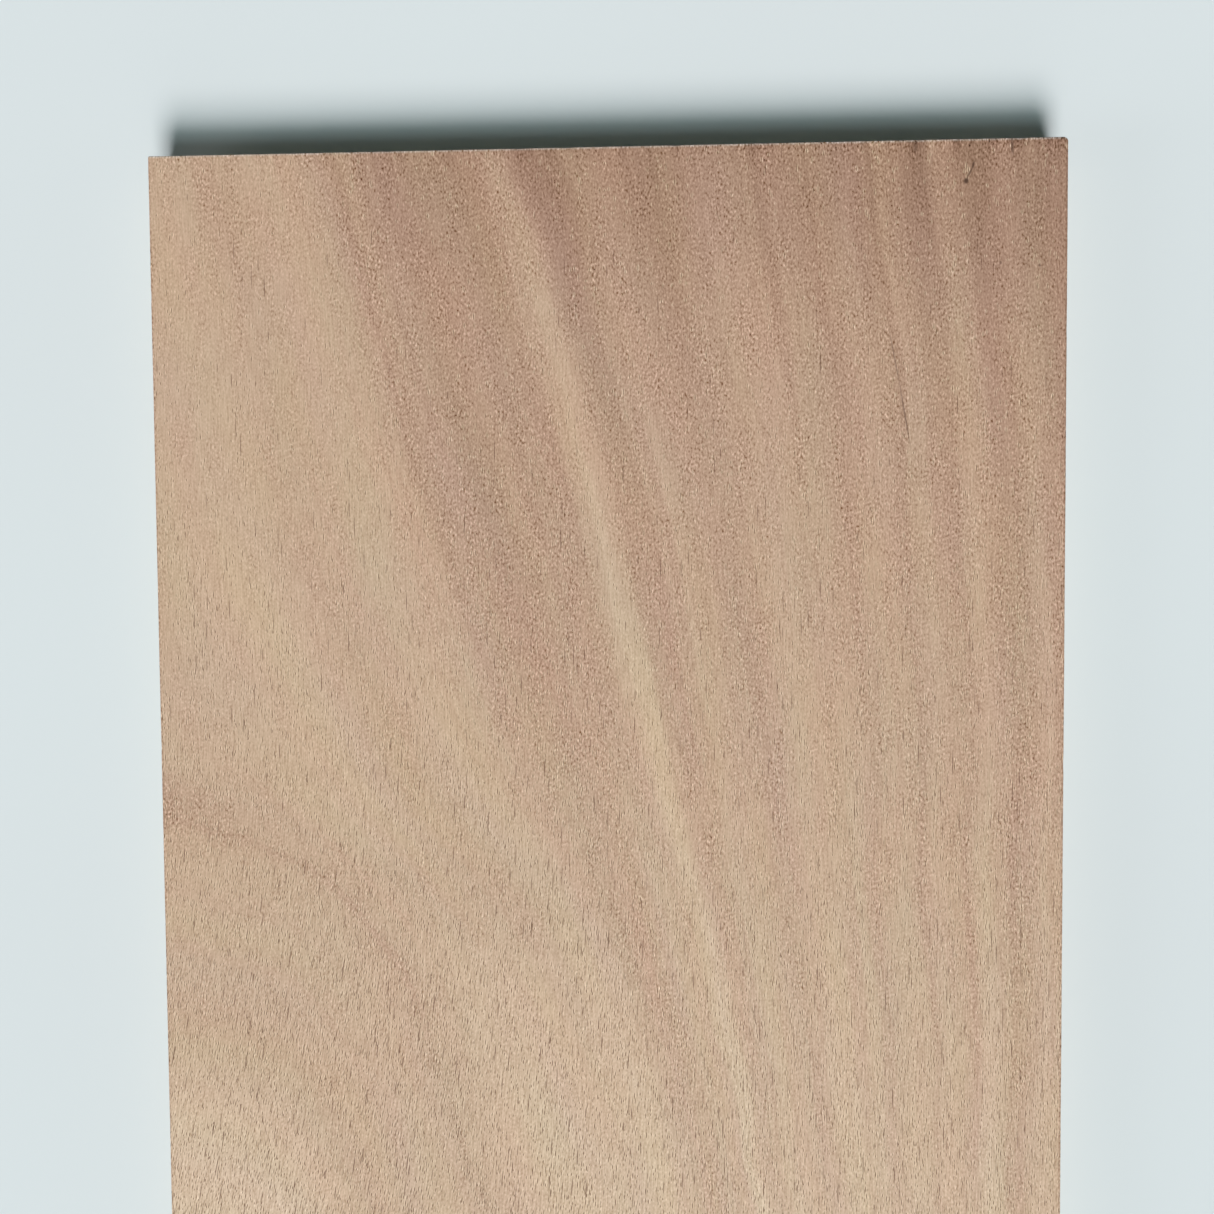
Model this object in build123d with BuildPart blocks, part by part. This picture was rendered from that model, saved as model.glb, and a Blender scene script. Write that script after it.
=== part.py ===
from build123d import *
import os

# A plywood sheet lying flat, show face up.
# Millimetres. The origin is the middle of the underside; X runs across the face grain,
# Y runs along it and Z points up out of the show face.

# Sheet
sheet_width = 300.0
sheet_length = 600.0
sheet_thickness = 18.0

# Corners of the outline
sawn_corner_radius = 0.8
knocked_corner_radius = 2.2

# Edges of the two faces, taken off by the last sanding
arris_radius = 0.35


with BuildPart() as plywood_sheet:
    # The outline is sawn square. One corner, at +X and +Y, has been knocked round in handling.
    with BuildSketch(Plane.XY) as outline:
        Rectangle(sheet_width, sheet_length)
        right_hand_corners = outline.vertices().group_by(Axis.X)[-1]
        knocked_corner = right_hand_corners.sort_by(Axis.Y)[-1]
        sawn_corners = outline.vertices() - ShapeList([knocked_corner])
        fillet(sawn_corners, radius=sawn_corner_radius)
        fillet(knocked_corner, radius=knocked_corner_radius)

    # The veneers are glued into one board, so the whole lay-up is one solid.
    extrude(amount=sheet_thickness)

    # Both faces lose the sharpness of their edge all the way round.
    show_and_back_faces = plywood_sheet.faces().filter_by(Axis.Z)
    fillet(show_and_back_faces.edges(), radius=arris_radius)

plywood_sheet.part.label = "plywood_sheet"

os.makedirs("parts", exist_ok=True)
export_step(plywood_sheet.part, "parts/plywood_sheet.step")
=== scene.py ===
# %% [markdown]
# A plywood sheet on a pale table.
#
# The object is one board of glued veneers, sawn square and sanded. Nearly all that the eye sees
# is the figure of the show veneer, so most of this lesson is about that: where the growth rings
# run, how the fibres lean, and how the open pores lie in it. The rest is the sawn edge, the plain
# back, a pale floor and soft light. The sheet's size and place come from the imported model.

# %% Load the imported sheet
import math

import bpy
import numpy as np
from mathutils import Matrix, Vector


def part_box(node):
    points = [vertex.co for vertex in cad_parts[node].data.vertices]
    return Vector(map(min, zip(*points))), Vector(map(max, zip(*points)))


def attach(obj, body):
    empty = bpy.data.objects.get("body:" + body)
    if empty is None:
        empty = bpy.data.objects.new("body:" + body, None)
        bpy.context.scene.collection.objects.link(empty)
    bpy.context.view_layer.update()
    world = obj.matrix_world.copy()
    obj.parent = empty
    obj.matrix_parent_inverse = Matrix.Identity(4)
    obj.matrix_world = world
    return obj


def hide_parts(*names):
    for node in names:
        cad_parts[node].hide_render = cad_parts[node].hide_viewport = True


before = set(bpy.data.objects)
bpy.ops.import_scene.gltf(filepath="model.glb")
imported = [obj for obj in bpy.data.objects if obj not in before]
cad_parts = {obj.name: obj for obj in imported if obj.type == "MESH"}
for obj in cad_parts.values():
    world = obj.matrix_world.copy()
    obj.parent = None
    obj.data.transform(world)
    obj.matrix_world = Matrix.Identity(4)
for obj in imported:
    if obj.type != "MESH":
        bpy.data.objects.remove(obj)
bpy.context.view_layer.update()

# %% [markdown]
# All shapes below are worked out in millimetres, because veneers, pores and glue lines are
# known in millimetres. They become metres only when a mesh is written. A distance down the
# sheet is counted from its far end, the end at the top of the picture, and a distance across
# it from its left edge, as one would lay a rule on the board.

# %% Size of the sheet in millimetres
MM = 0.001
sheet_low, sheet_high = (np.array(corner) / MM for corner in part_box("plywood_sheet"))
WIDTH, LENGTH, THICKNESS = sheet_high - sheet_low
LEFT_EDGE = sheet_low[0]
FAR_END = sheet_high[1]
print(f"sheet {WIDTH:.1f} x {LENGTH:.1f} x {THICKNESS:.1f} mm")

# Radii of the three sawn corners, of the knocked one, and of the edge of each face.
SAWN_CORNER = 0.45
KNOCKED_CORNER = 1.5
ARRIS = 0.35

# %% [markdown]
# Wood needs unevenness at many scales. For shapes, a sum of a few waves is enough: each wave
# has its own direction, length and phase, drawn from a seeded generator, so the board is the
# same in every run. Round the outline the waves must close on themselves, so there only whole
# numbers of waves are used.


# %% Waves for uneven shapes
def waves_over(across, down, shortest, longest, seed, count=12):
    """Sum of `count` cosine waves over a plane, scaled to about -1 to 1.

    Each wave is cos(2 pi (position . direction) / wavelength + phase).
    """
    random = np.random.default_rng(seed)
    turn, phase = random.uniform(0, 2 * np.pi, (2, count, 1))
    wavelength = random.uniform(shortest, longest, (count, 1))
    run = np.cos(turn) * np.ravel(across) + np.sin(turn) * np.ravel(down)
    total = np.cos(2 * np.pi * run / wavelength + phase).sum(axis=0)
    return (total / np.sqrt(2 * count)).reshape(np.shape(across))


def waves_round(share, fewest, most, seed, count=16):
    """Sum of waves along a closed line, where `share` goes from 0 to 1 round it.

    Each wave is cos(2 pi n share + phase) with a whole number n, so the ends meet.
    """
    random = np.random.default_rng(seed)
    number = random.integers(fewest, most, (count, 1))
    phase = random.uniform(0, 2 * np.pi, (count, 1))
    return np.cos(2 * np.pi * number * share + phase).sum(axis=0) / np.sqrt(2 * count)


# %% [markdown]
# The outline is a rectangle with four rounded corners, and the whole rim of the sheet is one
# section carried round it: across the top, over the arris, down past the plies and in under
# the back. A bevelled box would give the same silhouette, but with a profile carried along a
# path every glue line is a row of points of its own, so the plies can have real relief.
#
# Each side starts and ends in the middle of a corner. Its columns are shared out as arc,
# straight run, arc, and the count on every side is a whole multiple of the coarse grid that
# will fill the faces.

# %% Outline of the sheet
TOP_CELLS = (75, 150)
RIM_PER_TOP_CELL = 3
RIM_PER_BACK_CELL = 5
ARC_COLUMNS = 4
RIM_COLUMNS = [RIM_PER_TOP_CELL * cells for cells in TOP_CELLS * 2]


def outline(inset):
    """A closed ring `inset` mm inside the outline: points, outward normals.

    A corner point is its arc's centre plus the radius times (cos a, sin a); a straight run is
    a row of evenly spaced points. Sides come in the order near end, right, far end, left.
    """
    radii = np.array([SAWN_CORNER, SAWN_CORNER, KNOCKED_CORNER, SAWN_CORNER])
    signs = np.array([(-1, -1), (1, -1), (1, 1), (-1, 1)])
    half_size = np.array([WIDTH, LENGTH]) / 2 - inset
    centres = signs * (half_size - radii[:, None])
    places, normals = [], []
    for side, columns in enumerate(RIM_COLUMNS):
        facing = np.radians(-90 + 90 * side)
        after = (side + 1) % 4
        step = np.radians(45) / ARC_COLUMNS * np.arange(ARC_COLUMNS)
        turns = [facing - np.radians(45) + step, facing + step]
        arcs = [np.stack([np.cos(turn), np.sin(turn)], axis=1) for turn in turns]
        outwards = np.array([np.cos(facing), np.sin(facing)])
        first = centres[side] + radii[side] * outwards
        last = centres[after] + radii[after] * outwards
        straight = columns - 2 * ARC_COLUMNS
        share = np.arange(straight)[:, None] / straight
        places += [centres[side] + radii[side] * arcs[0], first + share * (last - first)]
        places += [centres[after] + radii[after] * arcs[1]]
        normals += [arcs[0], np.repeat(outwards[None], straight, axis=0), arcs[1]]
    return np.concatenate(places), np.concatenate(normals)


rim_points, rim_normals = outline(0.0)
rim_steps = np.linalg.norm(np.roll(rim_points, -1, axis=0) - rim_points, axis=1)
rim_distance = np.concatenate([[0.0], np.cumsum(rim_steps)[:-1]])
rim_share = rim_distance / rim_steps.sum()
on_end = np.abs(rim_normals[:, 1]) > np.abs(rim_normals[:, 0])
print(f"outline: {len(rim_points)} columns, {rim_steps.sum():.0f} mm round")

# %% [markdown]
# Plywood of this kind has two thin face veneers with their grain along the sheet and an odd
# number of thicker core plies, laid crosswise by turns. A saw leaves the plies slightly
# uneven, and the hard glue between them a hair lower. The section is a list of levels from
# the top of the rim to the bottom, and each level knows its ply and whether it is glue.

# %% Section of the rim
FACE_VENEER = 0.6
CORE_PLIES = 9
LAST_PLY = CORE_PLIES + 1
GLUE_LINE = 0.14
ARRIS_LEVELS = 5
TOP_INSETS = (2.6, 1.5, 0.8)
BACK_INSETS = (0.9, 2.5)
core_ply = (THICKNESS - 2 * FACE_VENEER) / CORE_PLIES
arris_turns = np.radians(np.linspace(90, 0, ARRIS_LEVELS))
arris_curve = [(ARRIS * (1 - np.cos(turn)), ARRIS * (1 - np.sin(turn))) for turn in arris_turns]

# Each row of the section is (inset, height, ply, glue).
section = [(inset, THICKNESS, 0, 0) for inset in TOP_INSETS]
section += [(inset, THICKNESS - drop, 0, 0) for inset, drop in arris_curve]
for ply in range(LAST_PLY):
    joint = THICKNESS - FACE_VENEER - ply * core_ply
    section += [
        (0.0, joint + GLUE_LINE / 2, ply, 0),
        (0.0, joint, ply, 1),
        (0.0, joint - GLUE_LINE / 2, ply + 1, 0),
    ]
    if ply < CORE_PLIES:
        section.append((0.0, joint - core_ply / 2, ply + 1, 0))
section += [(inset, rise, LAST_PLY, 0) for inset, rise in arris_curve[::-1]]
section += [(inset, 0.0, LAST_PLY, 0) for inset in BACK_INSETS]
level_inset, level_height, level_ply, level_glue = np.array(section).T
level_ply = level_ply.astype(int)
print(f"section: {len(section)} levels, {LAST_PLY + 1} plies, the core's {core_ply:.2f} mm each")

# %% [markdown]
# Every departure from the flat goes inwards, so the sheet never grows past its real size. A ply
# wanders by a few hundredths of a millimetre along the edge, the glue is a shallow groove, and
# here and there the saw has torn a short splinter out of the thin face veneer's arris.

# %% Relief of the sawn edge
PLY_WANDER = 0.05
WANDER_WAVES = (20, 400)
GLUE_DEPTH = 0.06
SPLINTERS = 90
SPLINTER_WIDTHS = (0.4, 2.2)
SPLINTER_DEPTH = 0.22
RELIEF_REACH = 1.5


def splinters(seed):
    """Depth of torn splinters round the outline: bell curves of random place, width and depth."""
    random = np.random.default_rng(seed)
    place = random.uniform(0, 1, (SPLINTERS, 1))
    width = random.uniform(*SPLINTER_WIDTHS, (SPLINTERS, 1)) / rim_steps.sum()
    depth = random.uniform(0.1, 1.0, (SPLINTERS, 1)) ** 2 * SPLINTER_DEPTH
    apart = np.abs(rim_share - place)
    apart = np.minimum(apart, 1 - apart)
    return (depth * np.exp(-((apart / width) ** 2))).sum(axis=0)


plies = range(LAST_PLY + 1)
ply_wander = np.stack([waves_round(rim_share, *WANDER_WAVES, seed=40 + ply) for ply in plies])
recess = PLY_WANDER * (1 + np.clip(ply_wander[level_ply], -1, 1)) / 2
recess += GLUE_DEPTH * level_glue[:, None]
for from_face, seed in ((THICKNESS - level_height, 7), (level_height, 8)):
    recess += np.clip(1 - from_face / FACE_VENEER, 0, 1)[:, None] * splinters(seed)
recess *= np.clip(1 - level_inset / RELIEF_REACH, 0, 1)[:, None]
print(f"edge relief: deepest {recess.max():.2f} mm")

# %% [markdown]
# The two faces are plain grids. Sanding leaves them almost flat, with a few hundredths of a
# millimetre of slow wave that only a glancing light shows.

# %% Rim and faces as arrays of points
TOP_MARGIN = 4.0
BACK_MARGIN = 6.0
FACE_WAVE = 0.03
FACE_WAVELENGTHS = (30, 160)


def rim_array():
    """Points of the rim: for each level, the outline at its inset, moved inwards by the recess."""
    rings = [outline(inset)[0] for inset in level_inset]
    flat = np.stack(rings) - recess[..., None] * rim_normals
    height = np.repeat(level_height[:, None], len(rim_points), axis=1)
    return np.concatenate([flat, height[..., None]], axis=2)


def face_grid(cells, margin, height):
    """A grid of points over a face, `margin` mm inside the outline.

    A row runs across the sheet, and the first one starts at the near left corner.
    """
    across = np.linspace(-WIDTH / 2 + margin, WIDTH / 2 - margin, cells[0] + 1)
    along = np.linspace(-LENGTH / 2 + margin, LENGTH / 2 - margin, cells[1] + 1)
    x, y = np.meshgrid(across, along)
    return np.stack([x, y, np.full_like(x, height)], axis=2)


rim = rim_array()
top = face_grid(TOP_CELLS, TOP_MARGIN, THICKNESS)
inner = top[1:-1, 1:-1]
face_wave = waves_over(inner[..., 0], inner[..., 1], *FACE_WAVELENGTHS, seed=3)
inner[..., 2] -= FACE_WAVE * (1 + face_wave).clip(0, 2) / 2
back_cells = [RIM_PER_TOP_CELL * cells // RIM_PER_BACK_CELL for cells in TOP_CELLS]
back = face_grid(back_cells, BACK_MARGIN, 0.0)
print(f"rim {rim.shape[:2]}, show face {top.shape[:2]}, back {back.shape[:2]} points")

# %% [markdown]
# To make one watertight skin the three arrays share their borders. The rim has several columns
# for each cell of a face's grid, so a strip of triangles fans out from each border point of the
# grid to the columns beside it. Everything runs anticlockwise seen from outside, which turns
# every face outwards.


# %% Join the arrays into one closed skin
def numbered(first, rows, columns):
    """The numbers of a grid's points, counted row by row from `first`."""
    return first + np.arange(rows * columns).reshape(rows, columns)


def border(first, rows, columns):
    """Numbers of a grid's border points, anticlockwise from the near left corner."""
    number = numbered(first, rows, columns)
    return np.concatenate([number[0, :-1], number[:-1, -1], number[-1, :0:-1], number[:0:-1, 0]])


def grid_quads(first, rows, columns):
    """The four corners of each cell of a grid, anticlockwise seen from the side it faces."""
    number = numbered(first, rows, columns)
    corners = number[:-1, :-1], number[:-1, 1:], number[1:, 1:], number[1:, :-1]
    return np.stack([corner.ravel() for corner in corners], axis=1)


def rim_quads(levels, columns):
    """The cells between each level of the rim and the one below it, closed round the outline."""
    number = numbered(0, levels, columns)
    after = np.roll(number, -1, axis=1)
    corners = number[:-1], number[1:], after[1:], after[:-1]
    return np.stack([corner.ravel() for corner in corners], axis=1)


def fan_strip(fine, coarse, per_cell):
    """Triangles between a fine ring and the coarse ring inside it.

    The first half of a cell's columns fan out from the cell's first point and the rest from
    its second, and one more triangle in the middle closes the cell.
    """
    cells = np.arange(len(coarse))
    this, after = coarse, np.roll(coarse, -1)
    middle = per_cell // 2
    triangles = []
    for column in range(per_cell):
        start = fine[cells * per_cell + column]
        end = fine[(cells * per_cell + column + 1) % len(fine)]
        triangles.append(np.stack([this if column < middle else after, start, end], axis=1))
    triangles.append(np.stack([this, fine[cells * per_cell + middle], after], axis=1))
    return np.concatenate(triangles)


levels, columns = rim.shape[:2]
top_first = levels * columns
back_first = top_first + top.shape[0] * top.shape[1]
points = np.concatenate([rim.reshape(-1, 3), top.reshape(-1, 3), back.reshape(-1, 3)])
rim_numbers = numbered(0, levels, columns)
top_shape, back_shape = top.shape[:2], back.shape[:2]
top_quads = grid_quads(top_first, *top_shape)
back_quads = grid_quads(back_first, *back_shape)[:, ::-1]
top_fan = fan_strip(rim_numbers[0], border(top_first, *top_shape), RIM_PER_TOP_CELL)
back_fan = fan_strip(rim_numbers[-1], border(back_first, *back_shape), RIM_PER_BACK_CELL)[:, ::-1]
quads = np.concatenate([rim_quads(levels, columns), top_quads, back_quads])
triangles = np.concatenate([top_fan, back_fan])
print(f"skin: {len(points)} points, {2 * len(quads) + len(triangles)} triangles")

# %% [markdown]
# The show veneer was peeled from a log, so each growth ring meets the surface in a long
# curve: steep and nearly straight towards the right edge, leaning in the middle, and closing
# into arches at the lower left. Noise alone gives stripes, not arches. Here a few of the
# rings are given as guide lines, each with a ring number, and a thin plate is bent
# through them: its height at any place is the ring number there. Distorted noise or a
# modelled trunk would also give arches, but neither would put them where this veneer has them.

# %% Guide lines of the show veneer
# Ring number, then points of the ring as (mm from the left edge, mm from the far end).
GUIDE_LINES = {
    -120: [(0, 570), (50, 600)],
    -90: [(0, 475), (45, 496), (75, 548), (90, 600)],
    -55: [(0, 385), (45, 404), (78, 452), (100, 522), (115, 600)],
    -15: [(0, 297), (36, 303), (54, 323), (67, 357), (92, 440), (116, 530), (128, 600)],
    30: [(0, 212), (31, 225), (62, 244), (82, 271), (95, 305), (105, 340), (125, 420), (150, 510),
         (166, 600)],
    48: [(0, 40), (8, 100)],
    72: [(20, 0), (37, 70), (54, 142), (72, 180), (86, 217)],
    112: [(58, 0), (72, 50), (85, 97), (102, 147), (119, 190), (137, 223), (154, 257), (169, 304),
          (179, 339), (196, 420), (214, 510), (226, 600)],
    160: [(112, 0), (124, 31), (136, 77), (147, 117), (156, 156), (168, 210), (178, 244),
          (188, 291), (197, 338), (210, 420), (224, 510), (233, 600)],
    174: [(126, 0), (140, 43), (153, 90), (167, 143), (180, 203), (192, 257), (203, 321),
          (215, 400)],
    188: [(148, 0), (166, 84), (180, 137), (189, 190), (197, 237), (207, 287), (217, 350)],
    256: [(241, 8), (250, 72), (254, 137), (259, 203), (263, 300), (268, 450), (271, 600)],
    276: [(260, 8), (268, 66), (274, 137), (276, 236), (278, 337), (281, 450), (283, 600)],
    300: [(290, 0), (296, 100), (300, 250), (302, 400), (303, 600)],
}
PLATE_SCALE = 100.0
PLATE_GIVE = 0.002
BLOCKS = 16


def bent_plate(guide_lines):
    """A function that gives the ring number at any place, by a thin plate bent through the lines.

    The height is a tilted plane plus, for every guide point, a weight times r squared log r,
    where r is the distance to it. The weights follow from the guide points' own heights, and
    a little give keeps the plate from buckling between points that lie close together. The
    places are worked through in blocks, which spares memory.
    """
    pins = np.array([place for line in guide_lines.values() for place in line], float) / PLATE_SCALE
    heights = np.array([ring for ring, line in guide_lines.items() for _ in line], float)

    def shapes(places):
        square = ((places[:, None] - pins[None]) ** 2).sum(axis=2)
        return np.hstack([0.5 * square * np.log(square + 1e-12), np.ones((len(places), 1)), places])

    on_pins = shapes(pins)
    system = np.zeros((len(pins) + 3, len(pins) + 3))
    system[: len(pins)] = on_pins
    system[len(pins):, : len(pins)] = on_pins[:, len(pins):].T
    system[: len(pins), : len(pins)] += PLATE_GIVE * np.eye(len(pins))
    weights = np.linalg.solve(system, np.concatenate([heights, np.zeros(3)]))

    def ring_number(across, down):
        places = np.stack([across, down], axis=1) / PLATE_SCALE
        return np.concatenate([shapes(block) @ weights for block in np.array_split(places, BLOCKS)])

    return ring_number


show_ring = bent_plate(GUIDE_LINES)
middle_ring = show_ring(np.array([WIDTH / 2]), np.array([LENGTH / 2]))
print("ring number in the sheet's middle:", middle_ring.round(1))

# %% [markdown]
# A few slow fields go with the rings. The fibres are nearly parallel to the sheet's sides, but
# lean at the lower left, so the place across the grain is the distance from the left edge plus
# the lean added up on the way down. The slow tone makes the wood darker towards the far end,
# most of all at the right, with some soft patches that follow the rings, and in three more
# patches the hue turns to violet. The figure says how strongly the bands differ, the
# streakiness how strong the fine streaks are, the openness where the pores are cut open, and
# the soil where the far end is soiled from handling. All are stored on the points, and the
# materials read them. Tones here are screen brightness, 0 to 255.

# %% Where the wood leans, and where it is darker, paler or violet
FIBRE_LEAN = math.tan(math.radians(11))
LEAN_START = 190.0
LEAN_EASE = 60.0
LEAN_REACH = 240.0
# Distance from the far end and tone at the right; the left has a smaller share of it.
TONE_DOWN = [
    (0, -21), (8, -21), (20, -18), (40, -11), (60, -5),
    (110, 1), (170, 5), (230, 8), (300, 13), (350, 16),
]
LEFT_SHARE = 0.3
END_DARK = 12.0
END_REACH = 2.4
# Soft patches: ring number, mm from the far end, reach in rings, reach in mm, tone.
PATCHES = [
    (252, 150, 3, 60, -3), (138, 305, 26, 90, 5), (82, 335, 30, 95, 5),
    (62, 247, 30, 16, -7), (30, 212, 5, 9, -10), (267, 12, 5, 26, -12),
    (284, 10, 5, 40, -6), (250, 10, 4, 45, -6), (186, 20, 5, 40, 4),
    (211, 12, 7, 40, 3), (232, 155, 4, 40, -3), (129, 45, 8, 40, 5),
    (153, 18, 4, 25, 6), (297, 30, 5, 45, -5), (262, 60, 4, 30, -4),
    (75, 205, 8, 30, -2), (273, 320, 6, 40, 4), (297, 320, 5, 40, 4),
    (160, 205, 6, 40, 4), (75, 165, 6, 70, -3), (72, 20, 8, 18, -4),
    (168, 40, 3, 45, 6), (131, 105, 6, 30, -3), (118, 262, 9, 30, -4),
    (145, 250, 9, 45, 3), (45, 320, 6, 40, 3), (57, 140, 12, 35, 2),
]
# Patches where the wood turns to violet, the same way, with a share of the whole change of hue.
VIOLET_PATCHES = [(171, 30, 5, 26, 1.2), (200, 150, 6, 60, 0.5), (122, 95, 8, 40, 0.6)]
# Ring numbers between which one kind of wood passes into the next.
INTO_DARK_BAND = (100, 112)
INTO_PALE_STREAK = (150, 156)
INTO_FINE_STRIPES = (190, 205)


# %% Slow fields over the faces
def soft_step(value, start, end):
    """0 before start, 1 after end, and the smooth curve 3t^2 - 2t^3 between them."""
    t = np.clip((value - start) / (end - start), 0, 1)
    return t * t * (3 - 2 * t)


def soft_patches(ring, down, patches):
    """Sum of bells: height times e to the minus squared distance, in units of each reach."""
    total = np.zeros_like(ring)
    for ring_centre, down_centre, ring_reach, down_reach, height in patches:
        off_ring = (ring - ring_centre) / ring_reach
        off_down = (down - down_centre) / down_reach
        total += height * np.exp(-(off_ring**2) - off_down**2)
    return total


def across_grain(across, down):
    """Distance across the fibres: the lean starts softly at LEAN_START and fades to the right."""
    past = np.maximum(down - LEAN_START, 0)
    leaning = FIBRE_LEAN * past * past / (past + LEAN_EASE)
    return across + leaning * (1 - soft_step(across, 0, LEAN_REACH))


def slow_tone(ring, down):
    """How much brighter or darker the wood is than its ring alone says."""
    share = LEFT_SHARE + (1 - LEFT_SHARE) * soft_step(ring, 112, 178)
    towards_end = np.interp(down, *np.array(TONE_DOWN).T) - END_DARK * np.exp(-down / END_REACH)
    return share * towards_end + soft_patches(ring, down, PATCHES)


def figure_strength(ring, down):
    """How strongly the bands differ: more near the far end, less in the middle lower down."""
    stronger = 0.2 * (1 - soft_step(down, 0, 110)) * (1 - soft_step(ring, 195, 205))
    past_dark = soft_step(ring, *INTO_PALE_STREAK)
    dark_band = soft_step(ring, *INTO_DARK_BAND) * (1 - past_dark)
    pale_streak = past_dark * (1 - soft_step(ring, *INTO_FINE_STRIPES))
    return 1.0 + stronger - soft_step(down, 110, 240) * (0.5 * dark_band + 0.3 * pale_streak)


def streakiness(ring):
    """How strong the fine streaks are: weak in the even, pale wood at the left."""
    return 0.4 + 0.6 * soft_step(ring, 88, 108)


def openness(across, down):
    """How open the pores are, from 0 to 1: most at the lower left, least at the far right."""
    left = 1 - soft_step(across, 60, 200)
    return 0.08 + (0.60 + 0.25 * left) * soft_step(down, 20, 330)


def end_soil(ring, down):
    """How soiled the wood is, from 0 to 1: only close to the far end, and more at the right."""
    return np.exp(-down / END_REACH) * (0.3 + 0.7 * soft_step(ring, 180, 250))


tone_down = slow_tone(np.full(3, 300.0), np.array([0.0, 50.0, 350.0]))
print("slow tone at the right, 0, 50 and 350 mm down:", tone_down.round(1))

# %% [markdown]
# The mesh carries the fields as named attributes. The sawn edge has its own: how far round the
# outline a point is, whether its ply shows end grain or long grain there, the glue, and a tone
# for each ply. A ply that shows long grain on the long edges shows end grain on the ends. The
# back uses the same rings, turned round. A corner of the show face with marks on it has a
# material of its own, so that the rest needn't work them out.

# %% Write the mesh
def put_in_scene(name, data):
    """An object that holds the data, linked into the scene."""
    made = bpy.data.objects.new(name, data)
    bpy.context.scene.collection.objects.link(made)
    return made


RING_SHAKE = 1.0
SHAKE_WAVELENGTHS = (18, 50)
SHAKE_STRETCH = 4
MARKED_ACROSS = 225.0
MARKED_DOWN = 108.0


def write_attributes(mesh, fields):
    """One number for each point of the mesh, under names that a material can read."""
    for name, values in fields.items():
        attribute = mesh.attributes.new(name, "FLOAT", "POINT")
        attribute.data.foreach_set("value", np.ascontiguousarray(values, dtype=np.float32))


def on_rim(values):
    """Values for all points: the rim's own, by level or column or both, and 0 on the faces."""
    whole_rim = np.broadcast_to(values, (levels, columns))
    return np.concatenate([whole_rim.ravel(), np.zeros(len(points) - whole_rim.size)])


mesh = bpy.data.meshes.new("plywood_skin")
mesh.from_pydata((points * MM).tolist(), [], quads.tolist() + triangles.tolist())

across = points[:, 0] - LEFT_EDGE
down = FAR_END - points[:, 1]
is_back = points[:, 2] < THICKNESS / 2
figure_across = np.where(is_back, WIDTH - across, across)
figure_down = np.where(is_back, LENGTH - down, down)
ring = show_ring(figure_across, figure_down)
ring_shake = waves_over(figure_across, figure_down / SHAKE_STRETCH, *SHAKE_WAVELENGTHS, seed=5)
ply_random = np.random.default_rng(21).uniform(-1, 1, LAST_PLY + 1)
is_crossband = level_ply % 2 == 1
write_attributes(mesh, {
    "ring": ring + RING_SHAKE * ring_shake,
    "across_grain": across_grain(figure_across, figure_down),
    "slow_tone": slow_tone(ring, figure_down) / 255,
    "figure": figure_strength(ring, figure_down),
    "violet": soft_patches(ring, figure_down, VIOLET_PATCHES),
    "streakiness": streakiness(ring),
    "openness": openness(figure_across, figure_down),
    "end_soil": end_soil(ring, figure_down),
    "round_edge": on_rim(rim_distance),
    "end_grain": on_rim(is_crossband[:, None] != on_end),
    "glue": on_rim(level_glue[:, None]),
    "ply_tone": on_rim(ply_random[level_ply][:, None]),
})
print("ring numbers on the mesh: from", ring.min().round(1), "to", ring.max().round(1))

# %% Give each face its material, and its place in the model
SHOW, MARKED, BACK, EDGE = 0, 1, 2, 3
ARRIS_DEPTH = 1.01 * ARRIS
is_show_level = level_height[:-1] > THICKNESS - ARRIS_DEPTH
is_back_level = level_height[1:] < ARRIS_DEPTH
level_material = np.where(is_show_level, SHOW, np.where(is_back_level, BACK, EDGE))
material_index = np.concatenate([
    np.repeat(level_material, columns),
    np.full(len(top_quads), SHOW),
    np.full(len(back_quads), BACK),
    np.full(len(top_fan), SHOW),
    np.full(len(back_fan), BACK),
])
corners = np.concatenate([quads[:, :3], triangles])
is_right = across[corners].max(axis=1) > MARKED_ACROSS
is_far = down[corners].min(axis=1) < MARKED_DOWN
material_index[is_right & is_far & (material_index == SHOW)] = MARKED
mesh.polygons.foreach_set("material_index", material_index.astype(np.int32))
mesh.polygons.foreach_set("use_smooth", np.ones(len(mesh.polygons), dtype=bool))
mesh.update()
sheet = put_in_scene("sheet", mesh)
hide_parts("plywood_sheet")
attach(sheet, "root")
is_valid = not mesh.validate()
print(f"mesh: {len(mesh.vertices)} points, {len(mesh.polygons)} faces, valid: {is_valid}")

# %% [markdown]
# Materials are built from nodes. Short helpers keep the wiring readable: one feeds an input
# with either a plain value or another node's output, one adds a node, and the rest are for
# sums, places and colours. Colours are written as they look on a screen, from 0 to 255, and
# turned into the linear values that the renderer wants.


# %% Helpers for nodes
def linear_colour(red, green, blue):
    """Screen values 0 to 255 as linear light, by the usual curve for screens."""
    share = np.array([red, green, blue]) / 255
    light = np.where(share <= 0.04045, share / 12.92, ((share + 0.055) / 1.055) ** 2.4)
    return (*light.tolist(), 1.0)


def feed(tree, socket, value):
    """Links a node's output into an input, or writes a plain value there."""
    if isinstance(value, bpy.types.NodeSocket):
        tree.links.new(value, socket)
    else:
        socket.default_value = value


def add_node(tree, kind, inputs=None, **settings):
    """Adds a shader node, sets its menus, then feeds its inputs by name or number."""
    made = tree.nodes.new("ShaderNode" + kind)
    for name, value in settings.items():
        setattr(made, name, value)
    for key, value in (inputs or {}).items():
        feed(tree, made.inputs[key], value)
    return made


def sums(tree, operation, *values, clamp=False):
    """One Math node on the given values; returns its output."""
    made = add_node(tree, "Math", dict(enumerate(values)), operation=operation, use_clamp=clamp)
    return made.outputs[0]


def weighted(tree, start, *terms):
    """`start` plus each value times its weight."""
    for value, weight in terms:
        start = sums(tree, "MULTIPLY_ADD", value, weight, start)
    return start


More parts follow.
